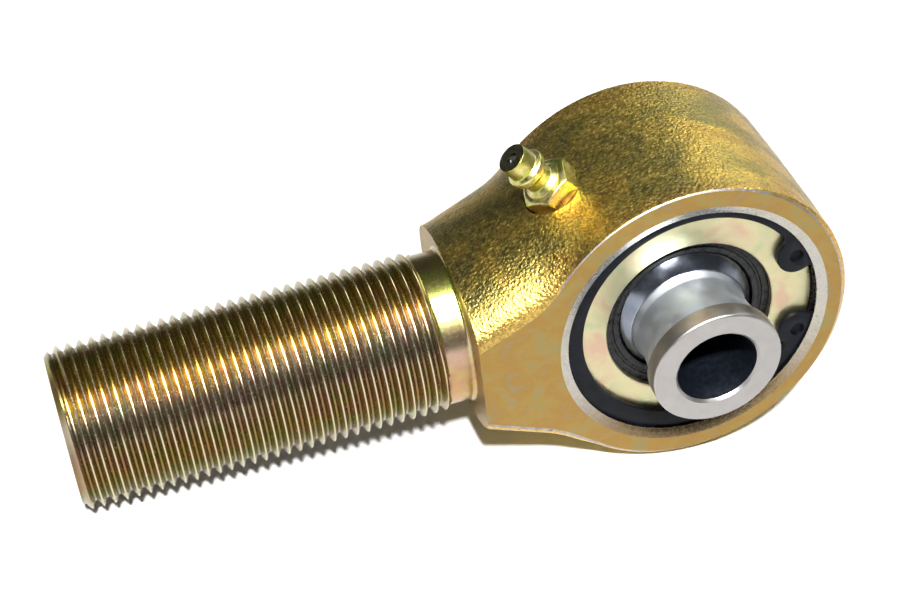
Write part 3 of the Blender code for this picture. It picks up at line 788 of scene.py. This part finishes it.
def forging_skin():
    """Points of the skin as (rows, columns, 3), from the front edge to the rear one."""
    # Share of the edge and of the side passed at each row from a face to the middle
    edge = np.concatenate([np.linspace(0.0, 1.0, EDGE_ROWS + 1), np.ones(SIDE_ROWS)])
    side = np.concatenate([np.zeros(EDGE_ROWS), np.linspace(0.0, 1.0, SIDE_ROWS + 1)])
    nominal = NECK_EDGE * edge ** 2 + (HALF_WIDTH - NECK_EDGE) * side ** SIDE_SPACING
    top, bottom = (np.arctan2(NECK_HALF_HEIGHT - drop_at(nominal, *shape), -SHOULDER)
                   for shape in (NECK_CROWN, NECK_BELLY))
    skin = np.linspace(0.0, 1.0, SKIN_COLUMNS + 1)
    shoulder = np.linspace(0.0, 1.0, SHOULDER_COLUMNS + 1)[1:-1]
    start = -pi + bottom[:, None]
    end = pi - top[:, None]
    turn = np.concatenate([start + (end - start) * skin[None, :],
                           end + (TAU + start - end) * shoulder[None, :]], axis=1)
    at_neck = fade(from_right(turn), radians(118.0), radians(150.0))
    bevel = edge_depth(turn)
    below_bevel = (HALF_WIDTH - bevel) * side[:, None] ** SIDE_SPACING
    depth = bevel * edge[:, None] ** (1.0 + at_neck) + below_bevel
    radius = skin_radius(turn, depth)
    on_shoulder = np.zeros_like(turn, dtype=bool)
    on_shoulder[:, SKIN_COLUMNS:] = True
    on_shoulder[:, 0] = True
    rough = (side[:, None] > 0.0) * (~on_shoulder)
    front = np.stack([radius * np.cos(turn), depth - HALF_WIDTH, radius * np.sin(turn)], axis=-1)
    points = face_to_face(front)
    points[len(front):, :, 1] *= -1.0
    flat_points = points.reshape(-1, 3)
    relief = sum(height * MM * noise_at(flat_points, width * MM) for height, width in RELIEF)
    relief = np.minimum(relief.reshape(points.shape[:2]), GRAIN_ROOM) * face_to_face(rough)
    turns = face_to_face(turn)
    grown = np.hypot(points[..., 0], points[..., 2]) + relief
    grown = np.where(face_to_face(on_shoulder), face_to_face(SHOULDER / np.cos(turn)), grown)
    points[..., 0] = grown * np.cos(turns)
    points[..., 2] = grown * np.sin(turns)
    return points


def face_to_face(rows):
    """Rows from the front face to the middle and back out to the rear face."""
    return np.concatenate([rows, rows[:-1][::-1]])


def bore_outline():
    """The stepped bore from the front flat to the rear one, as (radius, height, shade)."""
    groove_top = RING_FRONT + GROOVE_PLAY
    groove_bottom = RING_REAR - GROOVE_PLAY
    corners = [(FLAT_INNER_RADIUS + MM, HALF_WIDTH, 0.0, FLAT),
               (FLAT_INNER_RADIUS, HALF_WIDTH, 0.12 * MM, BORE),
               (BORE_RADIUS, HALF_WIDTH - BORE_CHAMFER_DEPTH, 0.05 * MM, BORE),
               (BORE_RADIUS, groove_top, 0.0, BORE), (GROOVE_RADIUS, groove_top, 0.0, BORE),
               (GROOVE_RADIUS, groove_bottom, 0.0, BORE), (BORE_RADIUS, groove_bottom, 0.0, BORE),
               (BORE_RADIUS, -WASHER_REAR, 0.0, BORE), (WINDOW_RADIUS, -WASHER_REAR, 0.0, BORE),
               (WINDOW_RADIUS, -WASHER_REAR - WINDOW_LAND, 0.15 * MM, BORE),
               (LIP_MOUTH_RADIUS, -HALF_WIDTH, 0.15 * MM, FLAT),
               (LIP_MOUTH_RADIUS + MM, -HALF_WIDTH, 0.0, FLAT)]
    return rounded(corners)


def ring_of(points_row, radius, height):
    """The points of a skin row moved in to a circle at a height along the bore, towards the front."""
    x, z = points_row[:, 0], points_row[:, 2]
    out = np.hypot(x, z)
    return np.stack([x / out * radius, np.full(len(out), -height), z / out * radius], axis=-1)


def eye_grid():
    """Loop of rows over skin, rear flat, bore and front flat, with a shade number for each."""
    skin = forging_skin()
    rear_to_front = bore_outline()[::-1]
    rows = list(skin)
    for radius, height, _ in rear_to_front:
        rows.append(ring_of(skin[-1] if height < 0.0 else skin[0], radius, height))
    last = len(skin) - 1
    tags = [EDGE if min(i, last - 1 - i) < EDGE_ROWS else FORGED for i in range(last)]
    tags += [FLAT] + [shade for _, _, shade in rear_to_front[1:]] + [FLAT]
    return np.array(rows), tags


def thread_rows():
    """(share of a turn, share of the depth) across one thread: crest, flank, root and flank."""
    flank = 0.5 * (1.0 - CREST_FLAT - ROOT_FLAT)
    root = CREST_FLAT + flank
    soft = FLANK_ROUNDING
    return [(0.0, soft), (0.5 * CREST_FLAT, 0.0), (CREST_FLAT, soft), (CREST_FLAT + 0.5 * flank, 0.5),
            (root, 1.0 - soft), (root + 0.5 * ROOT_FLAT, 1.0), (root + ROOT_FLAT, 1.0 - soft),
            (1.0 - 0.5 * flank, 0.5)]


def snapped(x, stop):
    """Put points close to an end plane on it, so that no sliver is left."""
    return np.where(np.abs(x - stop) < SLIVER_ROOM, stop, x)


def section(x, radius, angles):
    """Points round the shank; x and the radius may change on the way."""
    along = np.broadcast_to(x, angles.shape)
    return np.stack([along, radius * np.cos(angles), radius * np.sin(angles)], axis=-1)


def thread_grid(angles):
    """Rows of points of the thread, from the end face to where the thread has run out."""
    turns = int((RUNOUT_END - SHANK_END) / THREAD_PITCH) + 2
    grid = []
    for turn in range(turns + 1):
        for share, depth in thread_rows():
            x = SHANK_END + (turn + share - 1.0 + angles / TAU) * THREAD_PITCH
            x = np.clip(x, SHANK_END, RUNOUT_END)
            x = snapped(snapped(x, SHANK_END), RUNOUT_END)
            radius = np.full(len(x), THREAD_RADIUS - THREAD_DEPTH * depth)
            fading = THREAD_RADIUS + CREST_FADE_LEAD - (x - CREST_FADE_START) * CREST_FADE_SLOPE
            root = BLANK_RADIUS - np.clip(THREAD_STOP - x, 0.0, 2.0 * ROOT_FADE) * ROOT_DROP / ROOT_FADE
            radius = np.maximum(np.minimum(radius, fading), root)
            radius = np.minimum(radius, END_FACE_RADIUS + (x - SHANK_END))
            radius = np.where(x >= RUNOUT_END, BLANK_RADIUS, radius)
            grid.append(section(x, radius, angles))
    return grid


def shank_foot():
    """(x, radius) of the smooth blank, its fillet and the part buried in the neck."""
    corner = SHOULDER - BLANK_FILLET
    points = [(RUNOUT_END + 0.3 * MM, BLANK_RADIUS), (corner - 0.3 * MM, BLANK_RADIUS)]
    count = 7
    for k in range(count + 1):
        angle = pi / 2 * k / (count + 0.4)
        rise = BLANK_FILLET * (1.0 - cos(angle))
        points.append((corner + BLANK_FILLET * sin(angle), BLANK_RADIUS + rise))
    last = points[-1][1]
    return points + [(SHOULDER + 0.1 * MM, last), (SHOULDER + 4.0 * MM, last), (SHOULDER + 4.0 * MM, 0.0)]


def shank_body(shades):
    """Closed threaded rod, with its foot inside the neck."""
    angles = np.arange(THREAD_STEPS) * TAU / THREAD_STEPS
    start = [section(SHANK_END, r, angles) for r in (0.0, 4.0 * MM, END_FACE_RADIUS - 0.6 * MM)]
    grid = thread_grid(angles)
    tail = [section(x, r, angles) for x, r in shank_foot()]
    faces = spiral_faces(len(start), len(grid), len(tail), len(angles))
    mesh = built("threaded_shank", np.array(start + grid + tail), faces, [THREAD] * len(faces))
    return new_object("threaded_shank", mesh, shades)


def spiral_faces(before, spiral, after, steps):
    """Quads of rings, then a spiral whose last step joins the row one pitch on, then rings."""
    faces = []
    last = before + spiral - 1
    for r in range(before + spiral + after - 1):
        in_spiral = before <= r < last
        for c in range(steps):
            n = (c + 1) % steps
            shift = THREAD_ROWS if in_spiral and n == 0 else 0
            below = min(r + shift, last) if shift else r
            above = min(r + 1 + shift, last) if shift else r + 1
            faces.append((r * steps + c, below * steps + n, above * steps + n, (r + 1) * steps + c))
    return faces


def forging_mesh():
    """Eye and neck, closed, with the flat shoulder's own columns."""
    eye, tags = eye_grid()
    rows, columns = eye.shape[:2]
    numbers = np.repeat(tags, columns).reshape(rows, columns)
    skin_rows = 2 * (EDGE_ROWS + SIDE_ROWS)
    numbers[:skin_rows, SKIN_COLUMNS:] = FLAT
    return built("forged_body", eye, grid_faces(rows, columns, True), numbers.reshape(-1))


def mark_edges(mesh):
    """Skin rubbed bright at the flats: wide below, thin at the right, gone along the neck's top."""
    centres = np.array([polygon.center for polygon in mesh.polygons])
    numbers = np.array([polygon.material_index for polygon in mesh.polygons])
    turn = np.arctan2(centres[:, 2], centres[:, 0])
    depth = HALF_WIDTH - np.abs(centres[:, 1])
    beyond = np.hypot(centres[:, 0], centres[:, 2]) - skin_radius(turn, np.zeros_like(turn))
    share = 1.0 - fade(from_right(turn - WORN_SIDE), radians(45.0), radians(110.0))
    at_neck = fade(np.abs(turn), radians(128.0), radians(146.0))
    worn = (WORN_THIN + (WORN_WIDE - WORN_THIN) * share) * (1.0 - 0.4 * at_neck)
    rough = (np.hypot(depth, beyond) > worn) | (turn > radians(146.0))
    numbers[(numbers == EDGE) & rough] = FORGED
    mesh.polygons.foreach_set("material_index", numbers.astype(np.int32))


def fitting_place():
    return upright_at(FITTING_AXIS, FITTING_AXIS * SEAT_RADIUS)


def pocket_cutter(shades):
    """The fitting's pocket, its hole and the grease passage into the bore."""
    hole = STUB_RADIUS + GAP
    bottom = -STUB_LENGTH - GAP
    through = BORE_RADIUS - SEAT_RADIUS - 2.0 * MM
    sides = [(0.0, POCKET_CUT_TOP, 0.0), (POCKET_RADIUS + POCKET_FLARE, POCKET_CUT_TOP, 0.0),
             (POCKET_RADIUS, 0.0, POCKET_CORNER), (hole, 0.0, 0.0), (hole, bottom, 0.0),
             (GREASE_HOLE_RADIUS, bottom, 0.0), (GREASE_HOLE_RADIUS, through, 0.0), (0.0, through, 0.0)]
    outline = rounded([(*side, POCKET) for side in sides])
    return lathe("pocket_cutter", outline, 96, fitting_place(), shades)


def forged_body():
    shades = [forged_zinc(), machined_zinc(), worn_edge(), bore_zinc(), thread_zinc(), pocket_zinc()]
    mesh = forging_mesh()
    mark_edges(mesh)
    body = new_object("forged_body", mesh, shades)
    cut(body, shank_body(shades), "UNION")
    cut(body, pocket_cutter(shades))
    smooth(body.data, 34.0)
    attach(body, "housing")
    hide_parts("forged_housing")


# ---- ball and races

def ball_outline():
    """Outer side from front to rear, then back through the bolt bore."""
    sphere, face, hole = range(3)
    end = BALL_HALF_LENGTH
    back = end - COLLAR_WIDTH
    root = COLLAR_RADIUS - COLLAR_STEP
    corner_r = BALL_RADIUS * sin(BALL_CORNER_ANGLE)
    corner_h = BALL_RADIUS * cos(BALL_CORNER_ANGLE)
    corners = [(BOLT_BORE_RADIUS + BOLT_BORE_CHAMFER, end, 0.06 * MM, face),
               (COLLAR_RADIUS, end, 0.45 * MM, face), (COLLAR_RADIUS, back, 0.2 * MM, face),
               (root, back - COLLAR_FOOT, 0.1 * MM, sphere)]
    steps = 14
    for i in range(1, steps + 1):
        t = i / steps
        corners.append((BALL_NECK_RADIUS + (root - BALL_NECK_RADIUS) * (1.0 - t) ** 2,
                        back - COLLAR_FOOT + (BALL_WAIST - back + COLLAR_FOOT) * t, 0.0, sphere))
    corners.append((BALL_NECK_RADIUS + 0.02 * MM, 0.5 * (BALL_WAIST + corner_h), 0.9 * MM, sphere))
    corners.append((corner_r, corner_h, 0.5 * MM, sphere))
    arcs = 36
    for i in range(1, arcs + 1):
        angle = BALL_CORNER_ANGLE + (pi / 2 - BALL_CORNER_ANGLE) * i / arcs
        corners.append((BALL_RADIUS * sin(angle), BALL_RADIUS * cos(angle), 0.0, sphere))
    front = corners[-2::-1]
    shades = [corner[3] for corner in front[1:]] + [hole]
    corners += [(r, -h, fillet, shade) for (r, h, fillet, _), shade in zip(front, shades)]
    corners += [(BOLT_BORE_RADIUS, -end + BOLT_BORE_CHAMFER, 0.1 * MM, hole),
                (BOLT_BORE_RADIUS, end - BOLT_BORE_CHAMFER, 0.1 * MM, face)]
    return rounded(corners)


def ball():
    shades = [polished_steel(), ground_steel(), bore_steel()]
    thing = lathe("steel_ball", ball_outline(), 144, upright_at(BALL_AXIS), shades)
    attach(thing, "ball")
    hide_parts("ball")


def race_outline():
    """Half race: spherical seat, flat split and front face with a fine groove."""
    seat = BALL_RADIUS + GAP
    start = asin(RACE_HALF_SPLIT / seat)
    end = pi / 2 - RACE_MOUTH_ANGLE
    mouth_r = seat * cos(end)
    mouth_h = seat * sin(end)
    bead, groove = RACE_FACE, RACE_FACE - RACE_GROOVE_DEPTH
    corners = [(mouth_r + 0.03 * MM, mouth_h + 0.04 * MM, 0.03 * MM),
               (mouth_r + 0.3 * MM, bead, 0.12 * MM),
               (11.95 * MM, bead, 0.12 * MM), (12.1 * MM, groove, 0.1 * MM),
               (12.45 * MM, groove, 0.1 * MM), (12.6 * MM, bead, 0.12 * MM),
               (RACE_OUTER, RACE_FACE, 0.4 * MM), (RACE_OUTER, RACE_HALF_SPLIT, 0.1 * MM)]
    arcs = 30
    for i in range(arcs + 1):
        angle = start + (end - start) * i / arcs
        corners.append((seat * cos(angle), seat * sin(angle), 0.0))
    return rounded([(*corner, 0) for corner in corners])


def races():
    plastic = race_plastic()
    halves = (("front_race", "race_front", FORWARD), ("rear_race", "race_rear", (0, 1, 0)))
    for name, node, axis in halves:
        thing = lathe(name, race_outline(), 128, upright_at(axis), [plastic])
        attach(thing, "races")
        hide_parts(node)


# ---- washer and snap ring

def washer():
    corners = [(WINDOW_RADIUS, WASHER_FRONT, 0.3 * MM, 0), (WASHER_OUTER, WASHER_FRONT, 0.2 * MM, 0),
               (WASHER_OUTER, WASHER_REAR, 0.1 * MM, 0), (WINDOW_RADIUS, WASHER_REAR, 0.1 * MM, 0)]
    thing = lathe("plated_washer", rounded(corners), 160, upright_at(FORWARD), [washer_zinc()])
    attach(thing, "housing")
    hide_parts("retaining_washer")


def spoke(angle):
    return Vector((cos(angle), sin(angle)))


def inner_edge(angle):
    """Distance of the ring's inner edge from the bore's axis at an angle from +X."""
    along = RING_INNER_CENTRE.dot(spoke(angle))
    return along + sqrt(along ** 2 + RING_INNER_RADIUS ** 2 - RING_INNER_CENTRE.length_squared)


def lug_outline(side):
    """Points of a lug from the gap inwards and back to the ring's band, over a hollow fillet."""
    middle = side * LUG_ANGLE
    centre = spoke(middle) * LUG_ORBIT
    away = side * (pi / 2)
    points = []
    steps = 22
    for k in range(steps + 1):
        angle = middle - away - side * LUG_SWEEP * k / steps
        points.append(centre + spoke(angle) * LUG_RADIUS)
    band = middle + side * LUG_FOOT
    foot = spoke(band) * inner_edge(band)
    start = points[-1]
    leaving = (points[-1] - points[-2]).normalized()
    along = Vector((-sin(band), cos(band))) * side
    knee = start + leaving * 0.45 * (foot - start).length
    heel = foot - along * 0.45 * (foot - start).length
    for k in range(1, 9):
        t = k / 8
        u = 1.0 - t
        points.append(start * u ** 3 + knee * 3 * u * u * t + heel * 3 * u * t * t + foot * t ** 3)
    return [tuple(point) for point in points]


def ring_outline():
    """Tapered open ring as (x, z) points, the gap towards +X and a rounded lug at each end."""
    half_lug = asin(LUG_RADIUS / LUG_ORBIT)
    gap = LUG_ANGLE - half_lug
    band = LUG_ANGLE + LUG_FOOT + radians(1.0)
    outer = [(RING_OUTER, angle) for angle in np.linspace(gap + 0.02, TAU - gap - 0.02, 240)]
    inner = [(inner_edge(angle), angle) for angle in np.linspace(TAU - band, band, 200)]
    outer, inner = ([(r * cos(angle), r * sin(angle)) for r, angle in edge] for edge in (outer, inner))
    return outer + lug_outline(-1.0) + inner + lug_outline(1.0)[::-1]


def snap_ring():
    """Ring with its gap and lugs, whose holes end just short of the rear face: the thin dark web left behind each
    hole is painted shade, where the real hole goes through.
    """
    work = bmesh.new()
    loop = [work.verts.new((x, -RING_REAR, z)) for x, z in ring_outline()]
    rear = work.faces.new(loop)
    grown = bmesh.ops.extrude_face_region(work, geom=[rear])
    front = [v for v in grown["geom"] if isinstance(v, bmesh.types.BMVert)]
    bmesh.ops.translate(work, verts=front, vec=(0.0, RING_REAR - RING_FRONT, 0.0))
    bmesh.ops.recalc_face_normals(work, faces=work.faces)
    mesh = bpy.data.meshes.new("blued_snap_ring")
    work.to_mesh(mesh)
    work.free()
    ring = new_object("blued_snap_ring", mesh, [blued_steel()])
    # Each hole stops short, leaving a dark web as painted shade inside it
    shade_web = LUG_HOLE_SHADE_WEB - 0.5 * abs(RING_FRONT - RING_REAR)
    top = 3.0 * MM
    hole = [(0.0, top, 0), (LUG_HOLE_RADIUS, top, 0), (LUG_HOLE_RADIUS, shade_web, 0), (0.0, shade_web, 0)]
    for side in (1.0, -1.0):
        spot = Vector((LUG_ORBIT * cos(LUG_ANGLE), -0.5 * (RING_FRONT + RING_REAR),
                       side * LUG_ORBIT * sin(LUG_ANGLE)))
        cut(ring, lathe("lug_hole", hole, 40, upright_at(FORWARD, spot), []))
    bevelled(ring, RING_EDGE, 50.0)
    smooth(ring.data, 40.0)
    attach(ring, "housing")
    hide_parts("snap_ring")


# ---- grease fitting

def hex_body(shades):
    """Hexagon with its top corners turned off by a cone."""
    corner = HEX_ACROSS_FLATS / 2 / cos(pi / 6)
    prism = [(0.0, HEX_HEIGHT, 0), (corner, HEX_HEIGHT, 0), (corner, HEX_FOOT, 0), (0.0, HEX_FOOT, 0)]
    body = lathe("grease_fitting", prism, 6, Matrix.Rotation(HEX_TURN, 4, "Z"), shades)
    outside = corner + 0.6 * MM
    crown = [(0.0, HEX_HEIGHT + MM, 0), (3.0 * MM, HEX_HEIGHT + 0.3 * MM, 0),
             (outside, HEX_HEIGHT - 0.75 * MM, 0), (outside, -MM, 0), (0.0, -MM, 0)]
    cut(body, lathe("hex_crown", crown, 96, Matrix.Identity(4), shades), "INTERSECT")
    return bevelled(body, 0.12 * MM, 25.0)


def grease_fitting():
    gold, dark = 0, 1
    shades = [fitting_zinc(), fitting_tip_dark()]
    body = hex_body(shades)
    sides = [(TIP_RADIUS, FITTING_HEIGHT, 0.1 * MM),
             (TIP_RADIUS + 0.12 * MM, RIM_HEIGHT + 1.35 * MM, 0.3 * MM),
             (HEAD_RADIUS, RIM_HEIGHT + 0.95 * MM, 0.4 * MM), (HEAD_RADIUS, RIM_HEIGHT, 0.4 * MM),
             (HEAD_RADIUS - 0.3 * MM, RIM_HEIGHT - RIM_ROUND, 0.4 * MM),
             (WAIST_RADIUS, WAIST_TOP, 0.3 * MM), (WAIST_RADIUS, WAIST_BOTTOM, 0.3 * MM),
             (SPIGOT_RADIUS, HEX_HEIGHT + 0.15 * MM, 0.1 * MM), (SPIGOT_RADIUS, MM, 0.0),
             (STUB_RADIUS, 0.9 * MM, 0.0), (STUB_RADIUS, STUB_CHAMFER - STUB_LENGTH, 0.0),
             (STUB_RADIUS - STUB_CHAMFER, -STUB_LENGTH, 0.0), (0.0, -STUB_LENGTH, 0.0)]
    corners = [(0.0, FITTING_HEIGHT, 0.0, dark)] + [(*side, gold) for side in sides]
    stem = lathe("fitting_stem", rounded(corners), 96, Matrix.Identity(4), shades)
    cut(body, stem, "UNION")
    above, below = 12.0 * MM, -STUB_LENGTH - MM
    hollow = [(0.0, above), (TIP_HOLE_RADIUS, above), (TIP_HOLE_RADIUS, FITTING_HEIGHT - 0.35 * MM),
              (CHAMBER_RADIUS, FITTING_HEIGHT - 1.2 * MM), (CHAMBER_RADIUS, CHAMBER_FLOOR),
              (STUB_HOLE_RADIUS, CHAMBER_FLOOR), (STUB_HOLE_RADIUS, below), (0.0, below)]
    # The chamber takes the dark colour: painted shade inside the fitting's holes
    chamber = [(*corner, dark) for corner in hollow]
    cut(body, lathe("fitting_chamber", chamber, 48, Matrix.Identity(4), shades))
    smooth(body.data, 30.0)
    body.data.transform(fitting_place())
    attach(body, "housing")
    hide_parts("grease_fitting_body")


def kept_nodes():
    """The check ball and its spring only get their finish here."""
    for node in ("fitting_check_ball", "fitting_spring"):
        thing = frame["nodes"][node]
        thing.data.materials.clear()
        thing.data.materials.append(bearing_steel())
        thing.data.shade_smooth()


# ---- stage, light and camera

def floor():
    """Pale plane, tipped so that the eye and the shank's end both rest on it."""
    normal = Vector((sin(FLOOR_TILT), 0.0, cos(FLOOR_TILT)))
    mesh = bpy.data.meshes.new("floor")
    size = FLOOR_SIZE
    corners = [(-size, -size, 0), (size, -size, 0), (size, size, 0), (-size, size, 0)]
    mesh.from_pydata(corners, [], [(0, 1, 2, 3)])
    glow = {"Emission Color": rgba(1.0), "Emission Strength": FLOOR_GLOW}
    look = Look("floor_white", 0.0, plain=glow)
    plane = new_object("floor", mesh, [look.dress(rgba(FLOOR_GREY), 0.8)])
    plane.matrix_world = upright_at(normal, normal * -EYE_RADIUS)


def area_light(name, place, size, power, on_floor=True, on_metal=True):
    """Light aimed at the part, which may leave out the matt floor or the glossy metal."""
    lamp = bpy.data.lights.new(name, "AREA")
    lamp.shape = "RECTANGLE"
    lamp.size, lamp.size_y = size
    lamp.energy = power
    thing = placed(name, lamp)
    thing.visible_diffuse = on_floor
    thing.visible_glossy = on_metal
    thing.location = toward(*place)
    thing.rotation_euler = (LIGHT_AIM - toward(*place)).to_track_quat("-Z", "Y").to_euler()


def toward(azimuth, elevation, distance):
    """Point at a distance, its direction in degrees from the front (-Y) and up from level."""
    return direction(radians(azimuth), radians(elevation)) * distance


def direction(azimuth, elevation):
    level = cos(elevation)
    return Vector((sin(azimuth) * level, -cos(azimuth) * level, sin(elevation)))


def lights():
    area_light("key", KEY_PLACE, KEY_SIZE, 66.0)
    area_light("floor_key", KEY_PLACE, KEY_SIZE, 12.0, on_metal=False)
    area_light("overhead_softbox", OVERHEAD_PLACE, (1.2, 0.32), 36.0, on_floor=False)
    area_light("rear_softbox", REAR_PLACE, (0.7, 0.4), 3.4, on_floor=False)
    world = bpy.data.worlds.new("studio")
    bpy.context.scene.world = world
    world.use_nodes = True
    nodes = Nodes(world.node_tree)
    background = world.node_tree.nodes["Background"]
    height = nodes.parts(nodes.add("ShaderNodeTexCoord").outputs["Generated"])[2]
    share = nodes.plus(nodes.times(height, 0.5), 0.5)
    nodes.set(background.inputs["Color"], nodes.ramp(share, *STUDIO_GREYS))
    background.inputs["Strength"].default_value = 1.0


def camera():
    back = direction(CAMERA_AZIMUTH, CAMERA_ELEVATION)
    right = Vector((cos(CAMERA_AZIMUTH), sin(CAMERA_AZIMUTH), 0.0))
    right = right * cos(CAMERA_ROLL) + back.cross(right) * sin(CAMERA_ROLL)
    up = back.cross(right)
    data = bpy.data.cameras.new("camera")
    data.lens = CAMERA_LENS
    data.sensor_width = 36.0
    data.clip_start = 0.01
    thing = placed("camera", data)
    turn = Matrix((right, up, back)).transposed().to_4x4()
    thing.matrix_world = Matrix.Translation(CAMERA_TARGET + back * CAMERA_DISTANCE) @ turn
    bpy.context.scene.camera = thing


forged_body()
ball()
races()
washer()
snap_ring()
grease_fitting()
kept_nodes()
floor()
lights()
camera()
bpy.context.scene.view_settings.view_transform = "Standard"
